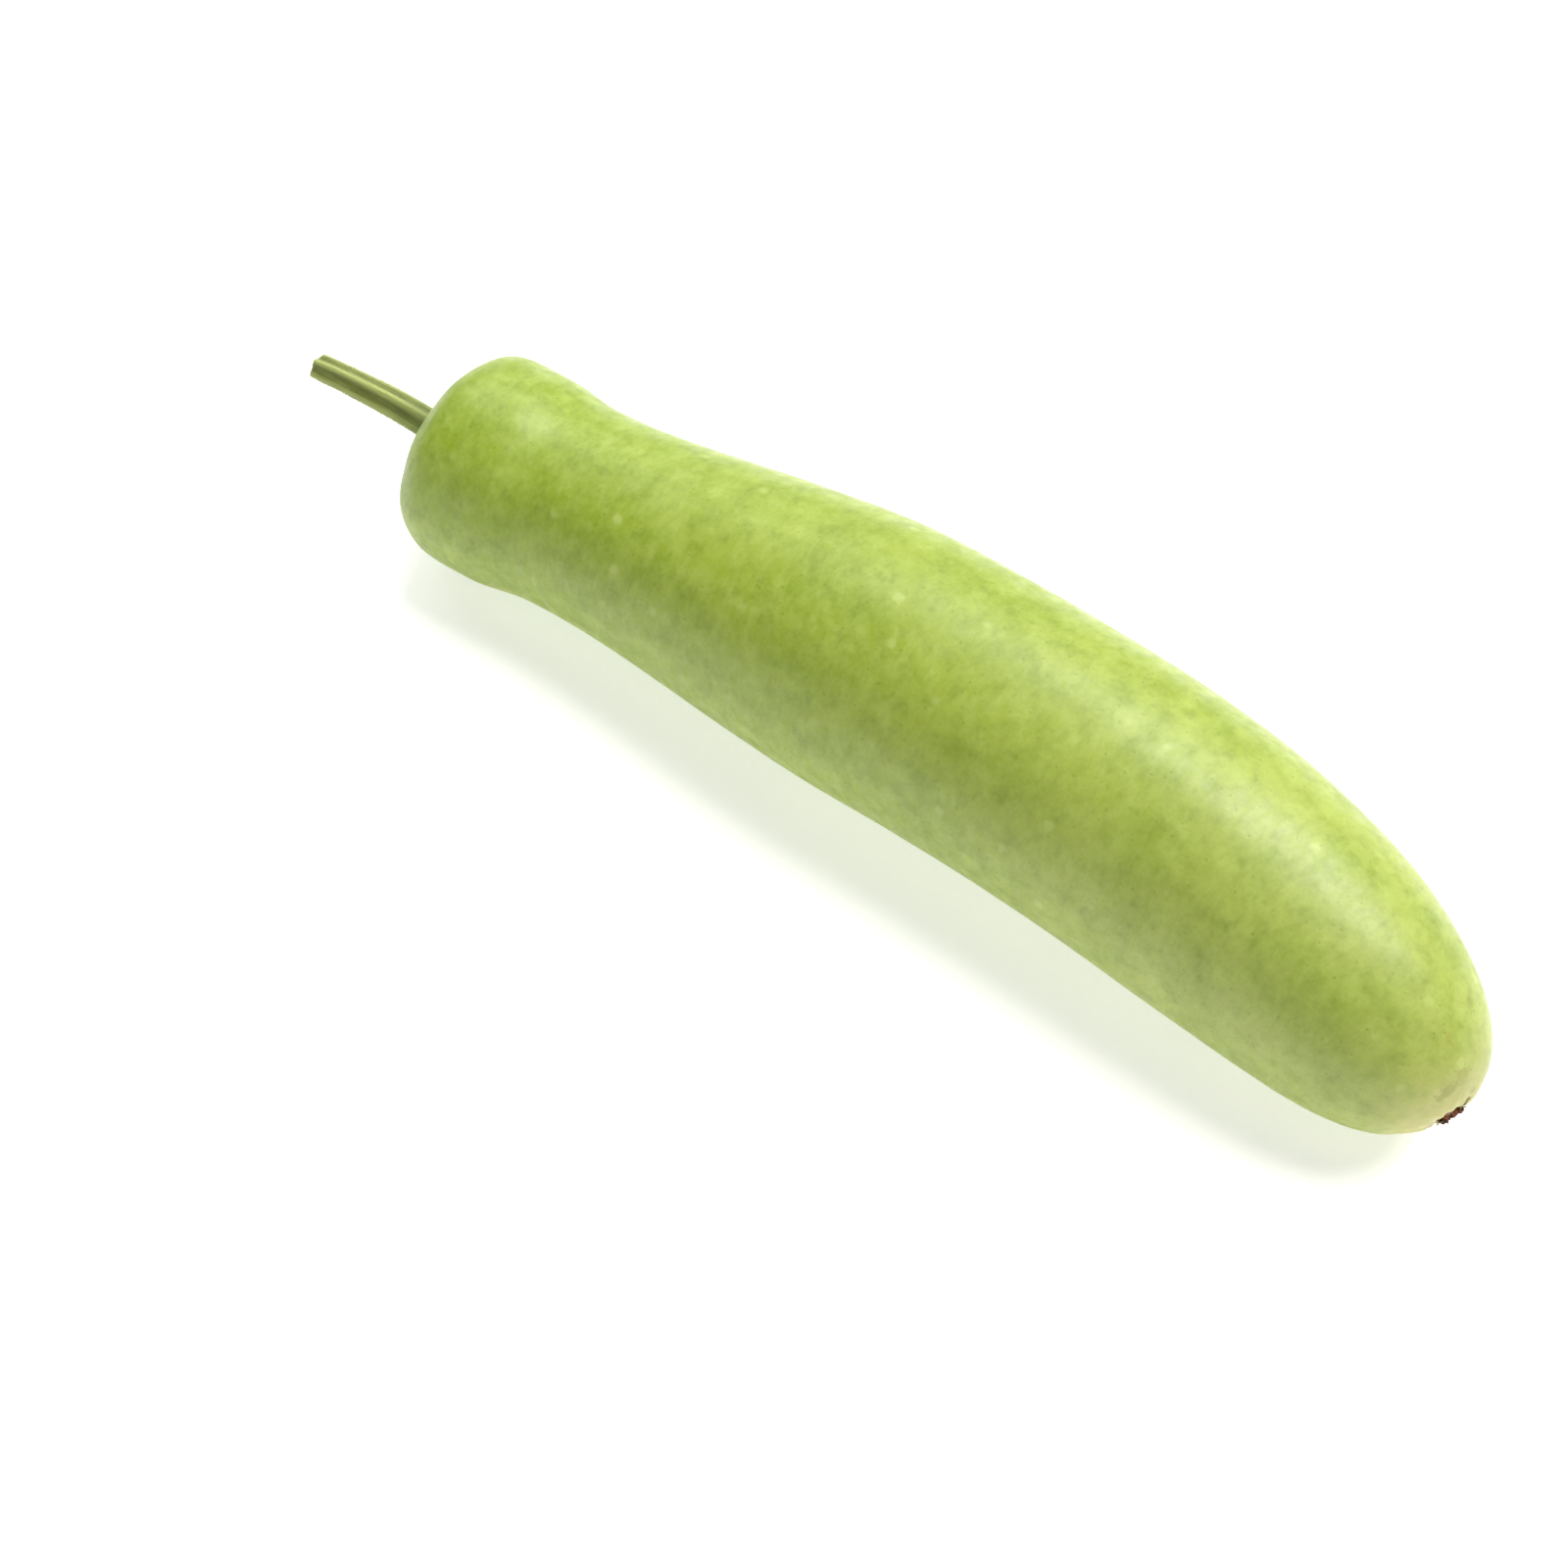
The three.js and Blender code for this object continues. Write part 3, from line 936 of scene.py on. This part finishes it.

# %% [markdown]
# ## The stem's finish
# The ridges are pale olive where they stand out, and the grooves between them are painted a
# darker green as shade. The whole stem is a deeper green near the fruit. Each point remembers
# how deep in a groove it lies, so the painted groove shade follows the shape exactly. Fine fibres
# are the same flecks as the skin's, drawn out along the stem. The cut face is pale tan round a
# browner pith.

# %% The stem's colours
rib_green = colour("A3AC62")
# painted shade: the grooves are coloured darker than the ridges
groove_shade_green = colour("626A26")
base_green = colour("485A26")
cut_tan = colour("BDB476")
pith_brown = colour("7E6A3C")
fibre_thinness = Vector((1.0, 1.0, 0.06))
fibres_seen = (0.7 * MM, 0.45)  # grain and strength
base_fades, base_strength = 24 * MM, 0.6
pith_fades, rim_fades = (0.6 * MM, 2.2 * MM), (3.3 * MM, 3.9 * MM)
cut_begins, cut_full, cut_strength = 0.9 * MM, 0.2 * MM, 0.6  # back from the very end
print("the stem is darker over its first", round(base_fades / MM), "mm")

# %% The stem's shading
r = material_recipe(stem_wood)
grown = remembered(r, "grown")
grown_z = r.parts(grown)["Z"]
# The grooves are painted darker than the ridges, as painted shade.
tint = mixed(r, r.eased(remembered(r, "groove", "Fac"), 0.1, 0.9), rib_green, groove_shade_green)
tint = mixed(r, r.eased(grown_z, 0.0, base_fades, base_strength, 0.0), tint, base_green)
fibre_place = r.vector("MULTIPLY", grown, fibre_thinness)
tint, fibre_height = flecks(r, tint, fibre_place, rib_green, base_green, *fibres_seen)
cut_out = off_middle(r, grown)
cut_tint = mixed(r, r.eased(cut_out, *pith_fades), pith_brown, cut_tan)
on_cut = r.eased(grown_z, stem_length - cut_begins, stem_length - cut_full, 0.0, cut_strength)
on_cut = r.product(on_cut, r.eased(cut_out, *rim_fades, 1.0, 0.0))
tint = mixed(r, on_cut, tint, cut_tint)
bump = r.step("ShaderNodeBump", {"Height": fibre_height, "Strength": 0.4, "Distance": 0.08 * MM})
coated(r, {"Base Color": tint, "Roughness": 0.62, "IOR": 1.45, "Normal": bump.outputs[0]})

# %% [markdown]
# ## The dried blossom's finish
# Dried petals are dark brown and red-brown with greyer scraps, dull and rough all over.
# Clouds of two sizes spread the three colours. The style dried paler than the rest, so its
# colour comes in with the distance from the middle of the ring.

# %% The dried blossom's shading
dark_brown = colour("34180D")
red_brown = colour("8C5131")
withered_grey = colour("A99582")
style_grey = colour("8E8B5C")
style_shows = (4.1 * MM, 4.8 * MM)
r = material_recipe(dried)
grown = remembered(r, "grown")
brown_clouds = r.clouds(grown, 1.8 * MM, detail=3.0)
grey_clouds = r.clouds(grown, 2.6 * MM)
tint = mixed(r, r.eased(brown_clouds, -0.2, 0.35), dark_brown, red_brown)
tint = mixed(r, r.eased(grey_clouds, 0.25, 0.5, 0.0, 0.8), tint, withered_grey)
on_style = r.eased(r.vector("LENGTH", grown), *style_shows, 0.0, 0.85)
tint = mixed(r, on_style, tint, style_grey)
crust = r.clouds(grown, 0.5 * MM, detail=3.0)
bump = r.step("ShaderNodeBump", {"Height": crust, "Strength": 0.6, "Distance": 0.2 * MM})
coated(r, {"Base Color": tint, "Roughness": 0.85, "IOR": 1.4, "Normal": bump.outputs[0]})

# %% [markdown]
# ## Floor, light and camera
# The gourd lies on a plain pale floor. The floor could be a lit sheet that curves up behind,
# as in a studio, but a wide flat one with a faint glow of its own stays evenly pale and
# still takes a soft shadow.

# %% Floor
floor_half = 4.0
floor_glow = 0.55
floor_mesh = bpy.data.meshes.new("floor")
floor_signs = ((-1, -1), (1, -1), (1, 1), (-1, 1))
floor_corners = [(sx * floor_half, sy * floor_half, 0) for sx, sy in floor_signs]
floor_mesh.from_pydata(floor_corners, [], [(0, 1, 2, 3)])
floor = bpy.data.objects.new("floor", floor_mesh)
bpy.context.scene.collection.objects.link(floor)
paper = bpy.data.materials.new("pale_floor")
r = material_recipe(paper)
object_place = r.step("ShaderNodeTexCoord").outputs["Object"]
paper_share = r.eased(r.clouds(object_place, 0.3), -0.5, 0.5)
paper_tint = mixed(r, paper_share, colour("F3F3F1"), colour("F5F5F4"))
glow = {"Emission Color": (1, 1, 1, 1), "Emission Strength": floor_glow}
coated(r, {"Base Color": paper_tint, "Roughness": 0.9, "IOR": 1.3, **glow})
floor_mesh.materials.append(paper)

# %% [markdown]
# ## The camera
# The camera looks down on the gourd and a little along it, so that the stem points to the
# upper left and the blossom end to the lower right. A long lens from a metre away keeps the
# two ends in proportion.

# %% Camera
view_azimuth = math.radians(38.85)
view_elevation = math.radians(57)
view_distance = 1.0325
target_from_stem_end = Vector((160.95, -37.4, 8.3)) * MM
view_target = stem_end_place + target_from_stem_end
to_right = Vector((math.cos(view_azimuth), math.sin(view_azimuth), 0))
to_back = Vector((-math.sin(view_azimuth), math.cos(view_azimuth), 0))
straight_up = Vector((0, 0, 1))
towards_camera = straight_up * math.sin(view_elevation) - to_back * math.cos(view_elevation)
camera_data = bpy.data.cameras.new("camera")
camera_data.lens = 85
camera_data.sensor_width = 36
camera = bpy.data.objects.new("camera", camera_data)
camera.location = view_target + towards_camera * view_distance
camera.rotation_euler = (-towards_camera).to_track_quat("-Z", "Y").to_euler()
bpy.context.scene.collection.objects.link(camera)
bpy.context.scene.camera = camera
print("the camera stands at", [round(part, 3) for part in camera.location])


# %% [markdown]
# ## The lights
# Three suns light the gourd: a broad one from above, a softer one from behind, and a wide,
# weak one low in front, which lifts the side that faces the camera. Lamps close by would
# light the floor unevenly; a sun with a wide disc gives the same soft shadow everywhere.

# %% Lights
def sun(name, right, back, up, strength, width):
    light = bpy.data.lights.new(name, "SUN")
    light.energy = strength
    light.angle = math.radians(width)
    made = bpy.data.objects.new(name, light)
    shines_from = to_right * right + to_back * back + straight_up * up
    made.rotation_euler = shines_from.to_track_quat("Z", "Y").to_euler()
    bpy.context.scene.collection.objects.link(made)
    return made


sun("key", right=0.4, back=0.3, up=0.865, strength=4.4, width=48)
sun("back_soft", right=-0.15, back=0.72, up=0.68, strength=1.15, width=60)
sun("front_fill", right=-0.3, back=-0.9, up=0.3, strength=0.75, width=110)

# %% The room
# The room is dim, but its far wall, past the edge of the floor, looks white.
room_light, wall_brightness = 0.06, 1.0
world = bpy.data.worlds.new("studio")
world.use_nodes = True
world.node_tree.nodes.clear()
r = Recipe(world.node_tree)
seen = r.step("ShaderNodeLightPath").outputs["Is Camera Ray"]
brightness = r.eased(seen, 0.0, 1.0, room_light, wall_brightness, kind="LINEAR")
room = r.step("ShaderNodeBackground", {"Color": (1, 1, 1, 1), "Strength": brightness})
r.step("ShaderNodeOutputWorld", {"Surface": room.outputs[0]})
bpy.context.scene.world = world
bpy.context.scene.view_settings.view_transform = "Standard"
lamps = [thing.name for thing in bpy.data.objects if thing.type == "LIGHT"]
print("the lights are", ", ".join(lamps))

# %% [markdown]
# ## Putting the pieces on their body
# Each piece rides on the gourd's one body and stands for its imported solid, which is then
# hidden.

# %% Bodies and imported solids
for made, node, slot in (
    (fruit, "fruit", "gourd_skin"),
    (stem, "stem", "green_stem"),
    (scar, "blossom_scar", "dried_blossom"),
):
    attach(made, "root")
    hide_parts(node)
    print(made.name, "stands for", node)
